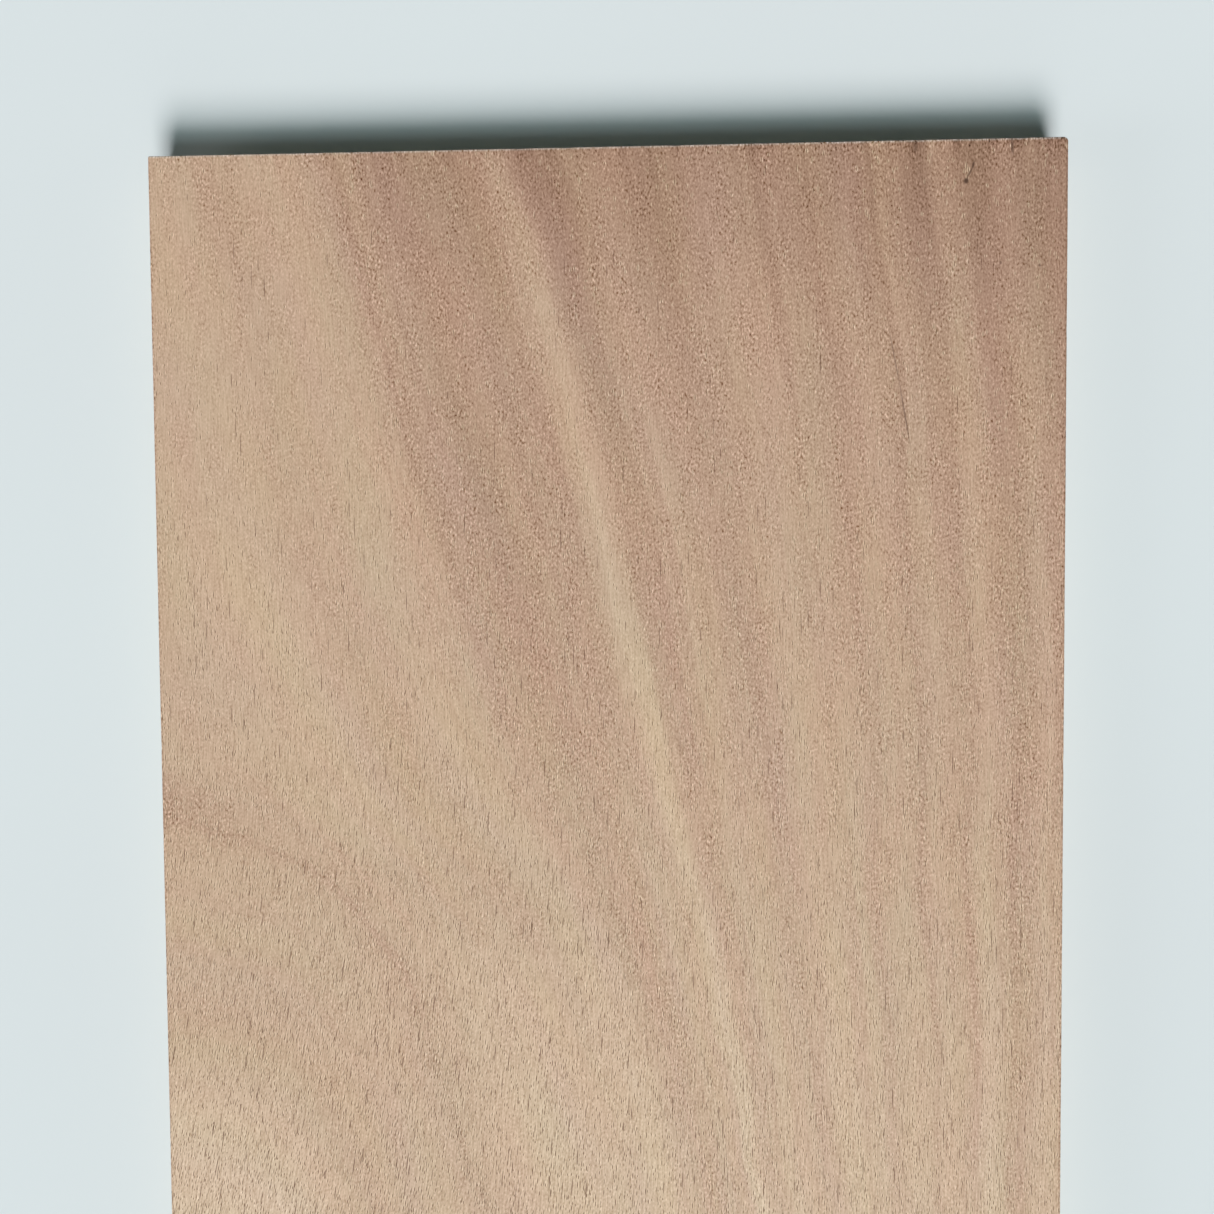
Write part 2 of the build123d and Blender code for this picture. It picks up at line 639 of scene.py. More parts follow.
def places(tree, operation, *values):
    """One Vector Math node on the given places; its output is a number for LENGTH alone."""
    made = add_node(tree, "VectorMath", dict(enumerate(values)), operation=operation)
    return made.outputs["Value" if operation == "LENGTH" else "Vector"]


def vector(tree, x=0.0, y=0.0, z=0.0):
    """Three numbers as one place."""
    return add_node(tree, "CombineXYZ", {0: x, 1: y, 2: z}).outputs[0]


def split(tree, place):
    """A place as its three numbers."""
    return add_node(tree, "SeparateXYZ", {0: place}).outputs


def attribute(tree, name):
    """The number that the mesh carries under a name."""
    return add_node(tree, "Attribute", attribute_name=name).outputs["Fac"]


def mixed(tree, share, first, second):
    """A colour between two others."""
    made = add_node(tree, "Mix", {0: share, 6: first, 7: second}, data_type="RGBA")
    return made.outputs[2]


def laid_over(tree, colour, share, over):
    """A colour with some share of a screen colour laid over it."""
    return mixed(tree, share, colour, linear_colour(*over))


def spread(tree, value, low, high, to_low=0.0, to_high=1.0):
    """Maps a range softly to another, and stops at its ends."""
    inputs = {0: value, 1: low, 2: high, 3: to_low, 4: to_high}
    return add_node(tree, "MapRange", inputs, interpolation_type="SMOOTHSTEP").outputs[0]


def ramp(tree, value, stops):
    """A colour ramp with its stops given as (place, colour)."""
    made = add_node(tree, "ValToRGB", {0: value})
    elements = made.color_ramp.elements
    while len(elements) < len(stops):
        elements.new(0.5)
    for element, (place, colour) in zip(elements, stops):
        element.position = place
        element.color = colour
    return made.outputs[0]


def screen_ramp(tree, value, stops):
    """A colour ramp with its stops given as (place, screen colour)."""
    return ramp(tree, value, [(place, linear_colour(*colour)) for place, colour in stops])


# %% [markdown]
# A group is a small tree of nodes with named inputs and outputs, which is built once and used
# by any material with its own values. All materials here start alike, with the gloss set on the
# shader and the place on the object in units that suit the pattern, and the wooden ones end
# alike, with a colour, a roughness and a bump.


# %% Helpers for groups and materials
def new_group(name, inputs, outputs):
    """An empty node group. Its inputs are numbers or places, as their defaults are."""
    tree = bpy.data.node_groups.new(name, "ShaderNodeTree")
    for label, default in inputs.items():
        kind = "NodeSocketVector" if isinstance(default, tuple) else "NodeSocketFloat"
        socket = tree.interface.new_socket(label, in_out="INPUT", socket_type=kind)
        socket.default_value = default
    for label in outputs:
        tree.interface.new_socket(label, in_out="OUTPUT", socket_type="NodeSocketFloat")
    entry = tree.nodes.new("NodeGroupInput")
    leave = tree.nodes.new("NodeGroupOutput")
    return tree, entry.outputs, leave.inputs


def new_material(name, gloss, scale):
    """A material with its nodes, its shader, and the place on the object times `scale`."""
    material = bpy.data.materials.new(name)
    material.use_nodes = True
    tree = material.node_tree
    shader = tree.nodes["Principled BSDF"]
    shader.inputs["Specular IOR Level"].default_value = gloss
    place = add_node(tree, "TexCoord").outputs["Object"]
    return material, tree, shader, places(tree, "MULTIPLY", place, scale)


def finish_wood(tree, shader, colour, roughness, height, strength, depth_mm):
    """Feeds a shader its colour and roughness, and a bump made from a height."""
    feed(tree, shader.inputs["Base Color"], colour)
    feed(tree, shader.inputs["Roughness"], roughness)
    inputs = {"Strength": strength, "Distance": depth_mm * MM, "Height": height}
    feed(tree, shader.inputs["Normal"], add_node(tree, "Bump", inputs).outputs[0])


# %% [markdown]
# Fibres are the same effect on the show face, the back and the plies of the edge, so they are a
# group of nodes, built once: noise that is squeezed across the grain and drawn out along it.
# Such noise is made on a grid, and with both axes parallel to the sheet the grid would show as
# rows. Turned a little before it is looked up, it doesn't. The group hands out numbers about
# zero, and each material decides how much of them it wants.


# %% Group: fibres
LOOKUP_TURN = 0.6
ORIGIN = (0.0, 0.0, 0.0)
IN_CELLS = {"Place": ORIGIN, "Per mm": (1.0, 1.0, 0.0), "Shift": ORIGIN}


def turned(tree, place, angle):
    """A place turned about the origin, in the plane of the face."""
    inputs = {"Vector": place, "Angle": angle}
    return add_node(tree, "VectorRotate", inputs, rotation_type="Z_AXIS").outputs[0]


def in_cells(tree, given):
    """A group's place counted in its own cells: place times cells per mm plus shift, turned."""
    cells = places(tree, "MULTIPLY_ADD", given["Place"], given["Per mm"], given["Shift"])
    return turned(tree, cells, LOOKUP_TURN)


def noise(tree, place):
    """Smooth noise at a place in a plane, from about -1 to 1."""
    inputs = {"Vector": place, "Scale": 1.0, "Detail": 0.0}
    made = add_node(tree, "TexNoise", inputs, noise_dimensions="2D")
    return sums(tree, "MULTIPLY_ADD", made.outputs[0], 2.0, -1.0)


def make_fibres():
    """Noise about zero, one wave for each cell or so."""
    tree, given, result = new_group("wood_fibres", IN_CELLS, ["Fibre"])
    feed(tree, result["Fibre"], noise(tree, in_cells(tree, given)))
    return tree


def laid_out(tree, group, place, cells, seed=0.0, **sizes):
    """A group in cells of so many mm by so many mm; a shift in cells gives it its own pattern."""
    width, run, shift = cells
    per_mm = (1 / width, 1 / run, 0.0)
    inputs = {"Place": place, "Per mm": per_mm, "Shift": (seed + shift, 0.0, 0.0), **sizes}
    return add_node(tree, "Group", inputs, node_tree=group).outputs


FIBRES = make_fibres()
print("fibres:", [node.bl_label for node in FIBRES.nodes])

# %% [markdown]
# Where the fibres of this wood dive in and out of the sanded face they are cut to short flecks,
# some dark and some shining. Soft noise alone would be equally strong everywhere and look like
# worms. Here it is multiplied by a crisp random number: a Voronoi texture gives each of its
# small cells one random colour, and one channel of that colour says how strong the noise is in
# the cell. So a few flecks stand out and most stay faint.


# %% Group: flecks
def random_cells(tree, place, randomness=1.0):
    """A Voronoi texture in a plane: each cell's point, and its colour as three random numbers."""
    inputs = {"Vector": place, "Scale": 1.0, "Randomness": randomness}
    cells = add_node(tree, "TexVoronoi", inputs, voronoi_dimensions="2D")
    chances = add_node(tree, "SeparateColor", {0: cells.outputs["Color"]}).outputs
    return cells.outputs["Position"], chances


NOISE_TO_CELLS = (0.48, 0.48, 1.0)


def make_flecks():
    """Noise about zero, times twice the random number of a cell about half the noise's size."""
    tree, given, result = new_group("torn_flecks", IN_CELLS, ["Fleck"])
    cells = in_cells(tree, given)
    chances = random_cells(tree, cells)[1]
    soft = noise(tree, places(tree, "MULTIPLY", cells, NOISE_TO_CELLS))
    strength = sums(tree, "MULTIPLY", chances[0], 2.0)
    feed(tree, result["Fleck"], sums(tree, "MULTIPLY", soft, strength))
    return tree


FLECKS = make_flecks()
print("flecks:", len(FLECKS.nodes), "nodes")

# %% [markdown]
# A peeled veneer cuts the tree's water vessels lengthwise, so each shows as a short dark dash
# with a slightly paler rim where the sanded lip catches the light. The same Voronoi texture
# puts one random point in every cell. The distances to it across and along the grain, each
# divided by half the dash's size, make a long thin ellipse, and a wider one makes the rim. The
# cell's random numbers give every dash its own length and depth, and drop some of them.


# %% Group: vessel dashes
VESSEL_RANDOMNESS = 0.8
RIM_TO_DASH = (0.24, 0.80, 1.0)
DASH_FADE = (0.5, 1.15)
RIM_FADE = (0.4, 1.0)


def make_vessels():
    """At most one dash in each cell, up to Length by Width mm; Amount is the share that is there.

    A dash is half its full depth or more, and 0.3 to 1 times Length long.
    """
    inputs = {**IN_CELLS, "Width": 0.4, "Length": 3.0, "Amount": 0.6}
    tree, given, result = new_group("vessel_dashes", inputs, ["Dash", "Rim"])
    cells = in_cells(tree, given)
    centre, chances = random_cells(tree, cells, VESSEL_RANDOMNESS)
    apart = turned(tree, places(tree, "SUBTRACT", cells, centre), -LOOKUP_TURN)
    apart_mm = places(tree, "DIVIDE", apart, given["Per mm"])
    half_width = sums(tree, "MULTIPLY", given["Width"], 0.5)
    half_length = sums(tree, "MULTIPLY", given["Length"], weighted(tree, 0.15, (chances[0], 0.35)))
    in_halves = places(tree, "DIVIDE", apart_mm, vector(tree, half_width, half_length, 1.0))
    in_rims = places(tree, "MULTIPLY", in_halves, RIM_TO_DASH)
    there = sums(tree, "LESS_THAN", chances[1], given["Amount"])
    depth = sums(tree, "MULTIPLY", there, weighted(tree, 0.5, (chances[2], 0.5)))
    on_dash = spread(tree, places(tree, "LENGTH", in_halves), *DASH_FADE, 1.0, 0.0)
    near_dash = spread(tree, places(tree, "LENGTH", in_rims), *RIM_FADE, 1.0, 0.0)
    dash = sums(tree, "MULTIPLY", on_dash, depth)
    around = sums(tree, "MULTIPLY", near_dash, depth)
    feed(tree, result["Dash"], dash)
    feed(tree, result["Rim"], sums(tree, "SUBTRACT", around, dash, clamp=True))
    return tree


VESSELS = make_vessels()
print("vessels:", len(VESSELS.nodes), "nodes")

# %% [markdown]
# The sheet has been handled: near the far right corner it has a short slanting scratch with a
# dark blob at its end, a few dark nicks along the far end and two specks. Two fine dark veins
# of the wood run below them. Each is a soft ellipse, leaning as the mark leans, or two of them,
# and one group makes them all.

# %% Marks of use
# Mm from the left edge, mm from the far end, half width, half length, lean in degrees, strength.
MARKS = [
    (269.8, 8.4, 0.42, 1.5, 16, 0.80),
    (268.7, 10.9, 0.40, 1.9, 28, 0.65),
    (267.6, 13.4, 0.95, 1.1, 10, 0.90),
    (282.2, 2.5, 0.55, 3.6, -3, 0.60),
    (251.4, 2.2, 0.80, 2.4, 4, 0.35),
    (234.1, 1.2, 0.60, 1.6, 0, 0.25),
    (287.4, 1.2, 0.60, 1.6, 0, 0.25),
    (278.7, 39.7, 0.50, 0.7, 0, 0.45),
    (291.1, 40.7, 0.50, 0.6, 0, 0.55),
    (244.9, 70.0, 0.30, 10.0, -11, 0.45),
    (248.2, 88.0, 0.30, 12.0, -10, 0.55),
]
MARK_COLOUR = (66, 42, 30)
MARK_FADE = (0.4, 1.15)


def make_mark():
    """A soft ellipse at a place on the sheet, turned by Lean: 1 in its middle, 0 outside."""
    inputs = {"Place": ORIGIN, "Centre": ORIGIN, "Half size": (1.0, 1.0, 1.0), "Lean": 0.0}
    tree, given, result = new_group("soft_mark", inputs, ["Mark"])
    apart = turned(tree, places(tree, "SUBTRACT", given["Place"], given["Centre"]), given["Lean"])
    reach = places(tree, "LENGTH", places(tree, "DIVIDE", apart, given["Half size"]))
    feed(tree, result["Mark"], spread(tree, reach, *MARK_FADE, 1.0, 0.0))
    return tree


def marked(tree, place_mm, colour, marks):
    """A colour with each mark laid over it in turn, as strongly as the mark says."""
    for across, down, half_width, half_length, lean, strength in marks:
        inputs = {
            "Place": place_mm,
            "Centre": (LEFT_EDGE + across, FAR_END - down, 0.0),
            "Half size": (half_width, half_length, 1.0),
            "Lean": math.radians(lean),
        }
        mark = add_node(tree, "Group", inputs, node_tree=MARK).outputs[0]
        colour = laid_over(tree, colour, sums(tree, "MULTIPLY", mark, strength), MARK_COLOUR)
    return colour


MARK = make_mark()
print(f"marks: {len(MARKS)}, each of {len(MARK.nodes)} nodes")

# %% [markdown]
# A band of growth rings is light or dark depending on its ring number alone, so a colour ramp
# holds them all: the wide dark band and the pale streak beside it, the paler wood left of
# them, and the many fine stripes at the right. A ramp takes 32 stops, so there are two of
# them. The tone is then turned into a colour by a last ramp, because in this wood dark is
# also pinker, and pale is yellower.

# %% Tones of the growth bands
BROAD_BANDS = [
    (-130, 170), (-90, 168), (-60, 182), (-36, 186), (-24, 180), (-14, 169), (-4, 171), (12, 173),
    (25, 171), (28, 161), (30, 170), (43, 175), (60, 177), (72, 172), (80, 173), (92, 176),
    (106, 171), (110, 167), (113, 160), (117, 163), (123, 159), (129, 154), (138, 160), (147, 158),
    (154, 161), (157, 171), (161, 178), (164, 174), (168, 160), (174, 155), (184, 167), (194, 162),
]
FINE_STRIPES = [
    (188, 166), (194, 162), (201, 158), (206, 162), (212, 168), (217, 168), (221, 166), (223, 162),
    (226, 166), (230, 165), (234, 160), (238, 162), (243, 166), (249, 163), (252, 157), (255, 167),
    (259, 165), (263, 160), (266, 158), (268, 155), (271, 165), (274, 169), (277, 163), (280, 160),
    (282, 154), (287, 153), (290, 160), (294, 165), (297, 160), (303, 153),
]
STRIPES_START = 191.0
MIDDLE_TONE = 167.0
WOOD_COLOURS = [
    (88, (112, 80, 62)), (119, (142, 110, 90)), (149, (171, 139, 117)), (159, (181, 150, 127)),
    (165, (186, 156, 132)), (171, (192, 163, 138)), (177, (196, 169, 143)), (183, (202, 176, 149)),
    (190, (207, 183, 156)), (214, (228, 208, 181)),
]
print(f"{len(BROAD_BANDS)} broad bands, {len(FINE_STRIPES)} stripes, {len(WOOD_COLOURS)} colours")


def band_ramp(tree, ring, bands):
    """The tone of a ring, as a share of full brightness, from a list of rings and tones."""
    first, last = bands[0][0], bands[-1][0]
    place = sums(tree, "DIVIDE", sums(tree, "SUBTRACT", ring, first), last - first)
    greys = [(number, (tone / 255, tone / 255, tone / 255, 1.0)) for number, tone in bands]
    return ramp(tree, place, [((number - first) / (last - first), grey) for number, grey in greys])


def band_tone(tree, ring, figure, brighter):
    """A ring's tone, drawn away from the middle tone by the strength of the figure there."""
    is_fine = sums(tree, "GREATER_THAN", ring, STRIPES_START)
    broad, fine = (band_ramp(tree, ring, bands) for bands in (BROAD_BANDS, FINE_STRIPES))
    band = mixed(tree, is_fine, broad, fine)
    off_middle = sums(tree, "SUBTRACT", band, MIDDLE_TONE / 255)
    strength = sums(tree, "MULTIPLY", attribute(tree, "figure"), figure)
    return weighted(tree, MIDDLE_TONE / 255 + brighter, (off_middle, strength))


# %% [markdown]
# The veneer itself puts the pieces together. The ring number is first frayed a little, so that
# no band has a ruled edge. Its tone, the slow tone, a soft mottle and fine streaks make the large
# figure. The streaks and the changes of hue are noise looked up by ring number, not by place, so
# they run with the rings. Along the sides the arris is darker, and at the ends a paler grey is
# painted on it as a highlight. The dashes are laid over the colour. The fine grain then makes it
# brighter and darker, red a little less and blue a little more, so that dark flecks stay brown
# and light ones turn whitish: the flecks are the wood's own, and their whitish shine is a
# painted glint. Where the wood is dark the fibres dive in and out of the sanded face, which is a
# close speckle; where it is pale they run longer. The same function makes the show veneer and
# the back, with other amounts.


# %% Patterns and amounts of the veneer
# Cells of each pattern: mm across, mm along, and a shift that gives it its own random numbers.
FRAYED = (1.8, 30.0, 2.0)
STREAKS = (2.2, 90.0, 3.0)
MOTTLE = (5.0, 18.0, 4.0)
CUT_FIBRES = (0.29, 0.50, 5.0)
LONG_FIBRES = (0.45, 7.0, 6.0)
SHORT_VESSELS = (0.90, 2.4, 7.0)
LONG_VESSELS = (1.9, 10.0, 31.0)
VIOLET_DRIFT = (9.0, 60.0, 8.0)
ORANGE_DRIFT = (12.0, 45.0, 9.0)

# Gloss, rings of fraying, then shares of full brightness for one unit of each pattern.
WOOD_GLOSS = 0.3
RING_FRAY = 0.8
STREAK_TONE = 0.018
MOTTLE_TONE = 0.012
SOIL_TONE = -0.02
SOIL_BY_MOTTLE = 0.10
SOIL_BY_STREAK = 0.11

# Flecks are weak from the pale tone up and strong from the dark tone down.
PALE_TONE, PALE_FLECKS = 0.70, 0.20
DARK_TONE, DARK_FLECKS = 0.62, 0.52
FLECKS_BY_SOIL = 1.2
FLECKS_BY_MOTTLE = -0.5
FIBRE_STRENGTH = 0.14
# The grain's light flecks turn bluer and whiter, a painted glint; dark ones stay brown.
FINE_BY_CHANNEL = (0.84, 1.0, 1.17)

# Vessels: their size in mm, the share of cells that have one, and how strongly they show.
SHORT_SIZE = {"Width": 0.32, "Length": 2.8}
LONG_SIZE = {"Width": 0.32, "Length": 9.0}
SHORT_AMOUNT = 0.90
LONG_AMOUNT = 0.40
AMOUNT_BY_STREAK = 1.2
DASH_STRENGTH = 0.80
OPEN_DASH_STRENGTH = 0.20
RIM_STRENGTH = 0.60
DASH_COLOUR = (100, 68, 50)
RIM_COLOUR = (224, 200, 170)

# The arris, over distances from the rim in mm, and the two turns of hue.
SIDE_ARRIS = (0.35, 1.0)
SIDE_ARRIS_TONE = -15.0
# At the ends a paler grey is painted on the arris as a highlight.
END_ARRIS = (0.3, 1.0)
END_ARRIS_HIGHLIGHT_SHARE = 0.36
END_ARRIS_HIGHLIGHT = (212, 206, 196)
TO_VIOLET = (0.009, -0.020, 0.012)
TO_ORANGE = (0.015, -0.003, -0.025)


# %% Material: veneer
def tint(tree, to_violet, to_orange):
    """A factor for each channel: 1 plus how far the wood turns each way, times that turn."""
    factor = (1.0, 1.0, 1.0)
    for far, turn in ((to_orange, TO_ORANGE), (to_violet, TO_VIOLET)):
        factor = places(tree, "MULTIPLY_ADD", vector(tree, far, far, far), turn, factor)
    return factor


def veneer_material(name, seed, brighter, figure, contrast, marks=()):
    """Bare sanded veneer: `figure` scales the growth bands and `contrast` the fine grain."""
    material, tree, shader, place_mm = new_material(name, WOOD_GLOSS, (1 / MM, 1 / MM, 0.0))
    along = split(tree, place_mm)[1]
    smooth_ring = attribute(tree, "ring")
    on_rings = vector(tree, smooth_ring, along)
    on_grain = vector(tree, attribute(tree, "across_grain"), along)
    frayed, mottle, long_fibres = (
        laid_out(tree, FIBRES, on_grain, cells, seed)[0]
        for cells in (FRAYED, MOTTLE, LONG_FIBRES)
    )
    streak, violet_drift, orange_drift = (
        laid_out(tree, FIBRES, on_rings, cells, seed)[0]
        for cells in (STREAKS, VIOLET_DRIFT, ORANGE_DRIFT)
    )
    fleck = laid_out(tree, FLECKS, on_grain, CUT_FIBRES, seed)[0]
    soil = attribute(tree, "end_soil")
    openness = attribute(tree, "openness")

    # The large figure, as a tone.
    band = band_tone(tree, weighted(tree, smooth_ring, (frayed, RING_FRAY)), figure, brighter)
    streak_tone = sums(tree, "MULTIPLY", attribute(tree, "streakiness"), STREAK_TONE)
    soil_tone = weighted(tree, SOIL_TONE, (streak, SOIL_BY_STREAK), (mottle, SOIL_BY_MOTTLE))
    slow = sums(tree, "ADD", band, attribute(tree, "slow_tone"))
    tone = weighted(tree, slow, (mottle, MOTTLE_TONE), (streak, streak_tone), (soil, soil_tone))
    from_middle = places(tree, "ABSOLUTE", place_mm)
    from_rim = places(tree, "SUBTRACT", (WIDTH / 2, LENGTH / 2, 0.0), from_middle)
    from_side, from_end, _ = split(tree, from_rim)
    tone = sums(tree, "ADD", tone, spread(tree, from_side, *SIDE_ARRIS, SIDE_ARRIS_TONE / 255, 0.0))

    # The fine grain, as a factor for each channel.
    pale_flecks, dark_flecks = PALE_FLECKS * contrast, DARK_FLECKS * contrast
    coarse = spread(tree, tone, PALE_TONE, DARK_TONE, pale_flecks, dark_flecks)
    uneven = weighted(tree, 1.0, (soil, FLECKS_BY_SOIL), (mottle, FLECKS_BY_MOTTLE))
    fleck_strength = sums(tree, "MULTIPLY", coarse, uneven)
    fibres = FIBRE_STRENGTH * contrast
    fibre_strength = weighted(tree, fibres, (openness, fibres))
    grain = weighted(tree, 0.0, (long_fibres, fibre_strength), (fleck, fleck_strength))
    # Light flecks turn whitish here: a painted glint over the wood's own grain.
    fine = places(tree, "MULTIPLY_ADD", grain, FINE_BY_CHANNEL, (1.0, 1.0, 1.0))

    # The vessels: more of them along some streaks.
    stringy = sums(tree, "MULTIPLY", openness, weighted(tree, 1.0, (streak, AMOUNT_BY_STREAK)))
    short_look = {**SHORT_SIZE, "Amount": sums(tree, "MULTIPLY", stringy, SHORT_AMOUNT)}
    long_look = {**LONG_SIZE, "Amount": sums(tree, "MULTIPLY", stringy, LONG_AMOUNT)}
    short = laid_out(tree, VESSELS, on_grain, SHORT_VESSELS, seed, **short_look)
    long = laid_out(tree, VESSELS, on_grain, LONG_VESSELS, seed, **long_look)
    dash = sums(tree, "MAXIMUM", short["Dash"], long["Dash"])
    dash_strength = weighted(tree, DASH_STRENGTH, (openness, OPEN_DASH_STRENGTH))
    dash_share = sums(tree, "MULTIPLY", dash, dash_strength)
    pale_share = sums(tree, "MULTIPLY", short["Rim"], RIM_STRENGTH * contrast)

    # All of it on the wood's own colour.
    colour = screen_ramp(tree, tone, [(listed / 255, wood) for listed, wood in WOOD_COLOURS])
    # A painted highlight: a paler grey along the arris at the ends.
    end_highlight_share = spread(tree, from_end, *END_ARRIS, END_ARRIS_HIGHLIGHT_SHARE, 0.0)
    colour = laid_over(tree, colour, end_highlight_share, END_ARRIS_HIGHLIGHT)
    colour = laid_over(tree, colour, pale_share, RIM_COLOUR)
    colour = laid_over(tree, colour, dash_share, DASH_COLOUR)
    colour = marked(tree, place_mm, places(tree, "MULTIPLY", colour, fine), marks)
    violet = attribute(tree, "violet")
    to_violet = sums(tree, "ADD", violet_drift, violet)
    to_orange = sums(tree, "SUBTRACT", orange_drift, violet)
    colour = places(tree, "MULTIPLY", colour, tint(tree, to_violet, to_orange))
    rough = weighted(tree, 0.62, (fleck, -0.06), (dash, 0.2))
    finish_wood(tree, shader, colour, rough, long_fibres, strength=0.35, depth_mm=0.03)
    return material


show_look = dict(seed=0.0, brighter=0.0, figure=1.0, contrast=1.0)
veneers = [
    veneer_material("show_veneer", **show_look),
    veneer_material("show_veneer_marked", **show_look, marks=MARKS),
    veneer_material("back_veneer", seed=50.0, brighter=0.015, figure=0.7, contrast=0.8),
]
print("veneers:", [veneer.name for veneer in veneers])

# %% [markdown]
# The sawn edge shows the lay-up. The core is pale poplar: plies seen along the grain are
# creamy with long fibres, and plies seen end-on are a little darker and duller, with the
# upright scratches of the saw. The glue is a thin brown line. The outermost veneers have the
# face's own colour. A picture of plies wrapped round the sheet would smear at the corners, so
# the material reads the distance round the edge that the mesh carries.

# %% Patterns and colours of the plies
# Cells of each pattern: mm across, mm along, and a shift that gives it its own random numbers.
PLY_FIBRES = (0.16, 9.0, 60.0)
PLY_BANDS = (0.7, 60.0, 61.0)
PLY_PORES = (0.14, 0.16, 62.0)
PLY_RAYS = (0.5, 2.2, 63.0)
SAW_MARKS = (0.35, 14.0, 64.0)
EDGE_SOIL = (9.0, 40.0, 65.0)
POPLAR_COLOURS = [
    (0.05, (128, 100, 74)), (0.35, (176, 148, 114)),
    (0.60, (209, 185, 148)), (0.90, (233, 215, 184)),
]
VENEER_COLOURS = [(0.1, (110, 78, 60)), (0.9, (200, 165, 136))]
GLUE_COLOUR = (118, 88, 60)

# The tone of a ply seen along the grain, of one seen end-on, and what else changes both.
LONG_TONE, BY_BANDS, BY_FIBRES = 0.62, 0.12, 0.20
END_TONE, BY_RAYS, BY_PORES = 0.40, 0.14, 0.22
BY_PLY, BY_SAW, BY_SOIL = 0.07, 0.08, 0.06


# %% Material: sawn edge
def edge_material():
    """Poplar plies in section, with glue lines, by the attributes of the rim."""
    in_mm = (1 / MM, 1 / MM, 1 / MM)
    material, tree, shader, place_mm = new_material("sawn_edge", WOOD_GLOSS, in_mm)
    height = split(tree, place_mm)[2]
    round_edge = attribute(tree, "round_edge")
    end_grain = spread(tree, attribute(tree, "end_grain"), 0.3, 0.7)
    lying = vector(tree, height, round_edge)
    upright = vector(tree, round_edge, height)
    long_fibres, long_bands, pores, soil = (
        laid_out(tree, FIBRES, lying, cells)[0]
        for cells in (PLY_FIBRES, PLY_BANDS, PLY_PORES, EDGE_SOIL)
    )
    rays, saw = (laid_out(tree, FIBRES, upright, cells)[0] for cells in (PLY_RAYS, SAW_MARKS))

    long_tone = weighted(tree, LONG_TONE, (long_bands, BY_BANDS), (long_fibres, BY_FIBRES))
    end_tone = weighted(tree, END_TONE, (rays, BY_RAYS), (pores, BY_PORES))
    tone = add_node(tree, "Mix", {0: end_grain, 2: long_tone, 3: end_tone}).outputs[0]
    ply_tone = attribute(tree, "ply_tone")
    tone = weighted(tree, tone, (ply_tone, BY_PLY), (saw, BY_SAW), (soil, BY_SOIL))
    to_middle = sums(tree, "ABSOLUTE", sums(tree, "SUBTRACT", height, THICKNESS / 2))
    in_core = THICKNESS / 2 - FACE_VENEER
    is_veneer = spread(tree, to_middle, in_core - 0.05, in_core + 0.05)
    poplar = screen_ramp(tree, tone, POPLAR_COLOURS)
    colour = mixed(tree, is_veneer, poplar, screen_ramp(tree, tone, VENEER_COLOURS))
    on_glue = spread(tree, attribute(tree, "glue"), 0.1, 0.8)
    glue_share = sums(tree, "MULTIPLY", on_glue, weighted(tree, 0.7, (saw, 0.3)))
    colour = laid_over(tree, colour, glue_share, GLUE_COLOUR)
    rough = weighted(tree, 0.68, (end_grain, 0.12))
    relief = weighted(tree, 0.0, (tone, 0.6), (saw, 0.7))
    finish_wood(tree, shader, colour, rough, relief, strength=0.5, depth_mm=0.08)
    return material


for material in (*veneers, edge_material()):
    sheet.data.materials.append(material)
print("sheet materials:", [slot.name for slot in sheet.material_slots])

# %% [markdown]
# The table is a plain matt surface, cool and pale, with only a breath of unevenness. It reaches
# far, because other views look towards its far side, and the world shows the camera nearly the
# same pale colour, so there is hardly an edge where they meet.

# %% Floor
FLOOR_REACH = 4.0
CLOUDS_PER_METRE = 5.0
FLOOR_COLOURS = [(218, 226, 228), (219, 228, 230)]
floor_mesh = bpy.data.meshes.new("table_top")
floor_corners = FLOOR_REACH * np.array([(-1, -1, 0), (1, -1, 0), (1, 1, 0), (-1, 1, 0)])
floor_mesh.from_pydata(floor_corners.tolist(), [], [(0, 1, 2, 3)])
floor = put_in_scene("table", floor_mesh)


def floor_material():
    """Matt pale table, a little cooler than white, with very faint slow cloudiness."""
    scale = (CLOUDS_PER_METRE, CLOUDS_PER_METRE, 0.0)
    material, tree, shader, place = new_material("pale_table", 0.0, scale)
    share = spread(tree, noise(tree, place), -0.6, 0.6)
    plain, cloudy = (linear_colour(*colour) for colour in FLOOR_COLOURS)
    feed(tree, shader.inputs["Base Color"], mixed(tree, share, plain, cloudy))
    shader.inputs["Roughness"].default_value = 0.9
    return material


floor_mesh.materials.append(floor_material())
print("floor:", 2 * FLOOR_REACH, "m square")

# %% [markdown]
# The light is a window-like key from the near side, so the far end drops a short, soft, very
# dark shadow on the table. The shadow's edge lies where the light's height above the horizon is
# about 46 degrees, and it softens over some 30 degrees. The key is a touch warm, and the light
# above it, which alone reaches the inner half of that soft edge, is short of red, so the edge
# turns a faint teal. Weaker light from the left fades the shadow's left end. Sun lamps light the
# whole table alike, and their angle sets the softness. Faint low lamps from behind and from the
# right reach the standing edges, but hardly the table.

# %% Light
# Name, strength, red share, compass side (0 near, 90 right), height and width in degrees.
LAMPS = [
    ("key", 2.71, 1.10, 3, 42, 24),
    ("key_high", 1.10, 0.82, 3, 52, 24),
    ("key_low", 0.30, 1.0, 3, 26, 30),
    ("left", 0.46, 1.0, -72, 20, 24),
    ("low_rear", 0.17, 1.0, 170, 10, 30),
    ("low_right", 0.12, 1.0, 75, 12, 30),
]
SKY_LIGHT = 0.03
SKY_TINT = (0.45, 1.0, 1.0, 1.0)
BACKDROP = (219, 227, 229)


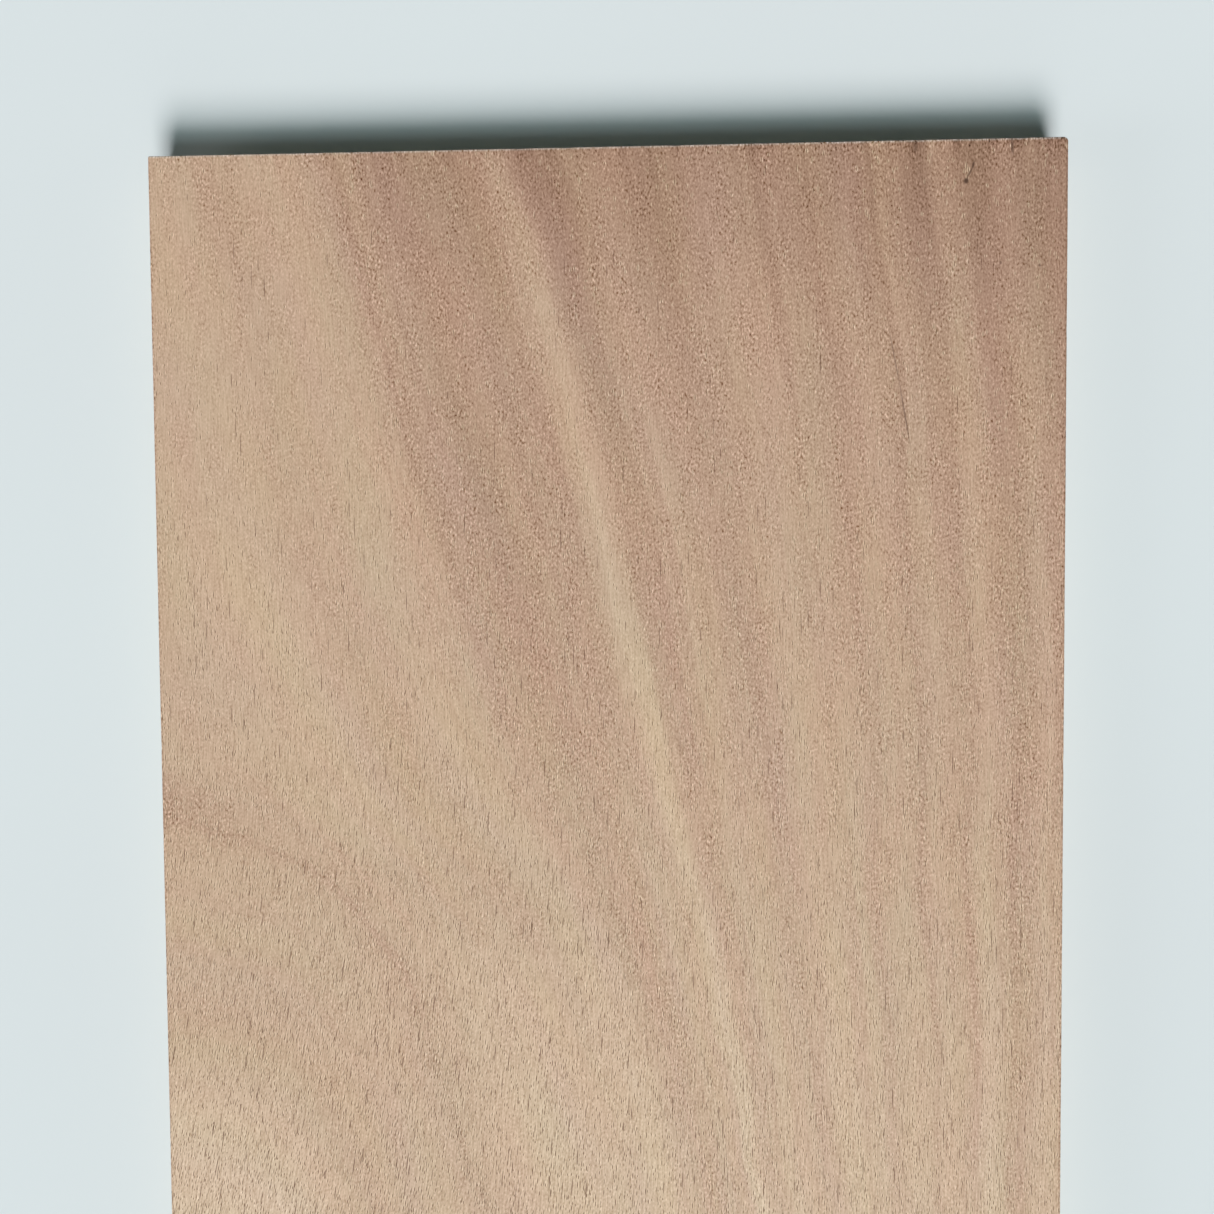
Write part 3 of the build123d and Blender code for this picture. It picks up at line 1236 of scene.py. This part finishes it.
def sun(name, strength, red, azimuth, elevation, softness):
    """A sun lamp: it is turned down from the zenith, then round to its compass side."""
    lamp = bpy.data.lights.new(name, "SUN")
    lamp.energy = strength
    lamp.color = (red, 1.0, 1.0)
    lamp.angle = math.radians(softness)
    turn = math.radians(90 - elevation), 0.0, math.radians(azimuth)
    put_in_scene(name, lamp).rotation_euler = turn


for lamp in LAMPS:
    sun(*lamp)
print("lamps:", [lamp[0] for lamp in LAMPS])

world = bpy.data.worlds.new("soft_room")
world.use_nodes = True
bpy.context.scene.world = world
tree = world.node_tree
path = add_node(tree, "LightPath")
seen = sums(tree, "MAXIMUM", path.outputs["Is Camera Ray"], path.outputs["Is Glossy Ray"])
seen = sums(tree, "MAXIMUM", seen, path.outputs["Is Transmission Ray"])
background = tree.nodes["Background"]
feed(tree, background.inputs["Color"], mixed(tree, seen, SKY_TINT, linear_colour(*BACKDROP)))
feed(tree, background.inputs["Strength"], weighted(tree, SKY_LIGHT, (seen, 1 - SKY_LIGHT)))

# %% [markdown]
# The camera hangs over the sheet and looks almost straight down, a little off the middle, with
# a slight twist. Its place was worked out from how the sheet's three visible edges converge. A
# 36 mm lens on a 36 mm sensor gives the wide view of a hand-held phone.

# %% Camera
CAMERA_PLACE = np.array([17.1, 166.3, 418.5])
CAMERA_AIM = np.array([0.8, 149.95, 18.0])
CAMERA_TWIST = math.radians(-0.44)

camera_data = bpy.data.cameras.new("overhead")
camera_data.lens = 36.0
camera_data.sensor_width = 36.0
camera_data.clip_start = 0.01
camera = put_in_scene("overhead", camera_data)
forward = CAMERA_AIM - CAMERA_PLACE
forward /= np.linalg.norm(forward)
right = np.cross(forward, (0, 1, 0))
right /= np.linalg.norm(right)
upward = np.cross(right, forward)
twisted_right = math.cos(CAMERA_TWIST) * right + math.sin(CAMERA_TWIST) * upward
twisted_up = math.cos(CAMERA_TWIST) * upward - math.sin(CAMERA_TWIST) * right
placing = np.eye(4)
placing[:3, :3] = np.stack([twisted_right, twisted_up, -forward], axis=1)
placing[:3, 3] = CAMERA_PLACE * MM
camera.matrix_world = Matrix(placing.tolist())
bpy.context.scene.camera = camera
bpy.context.scene.view_settings.view_transform = "Standard"
print("camera: at", CAMERA_PLACE, "mm, looking along", forward.round(3))
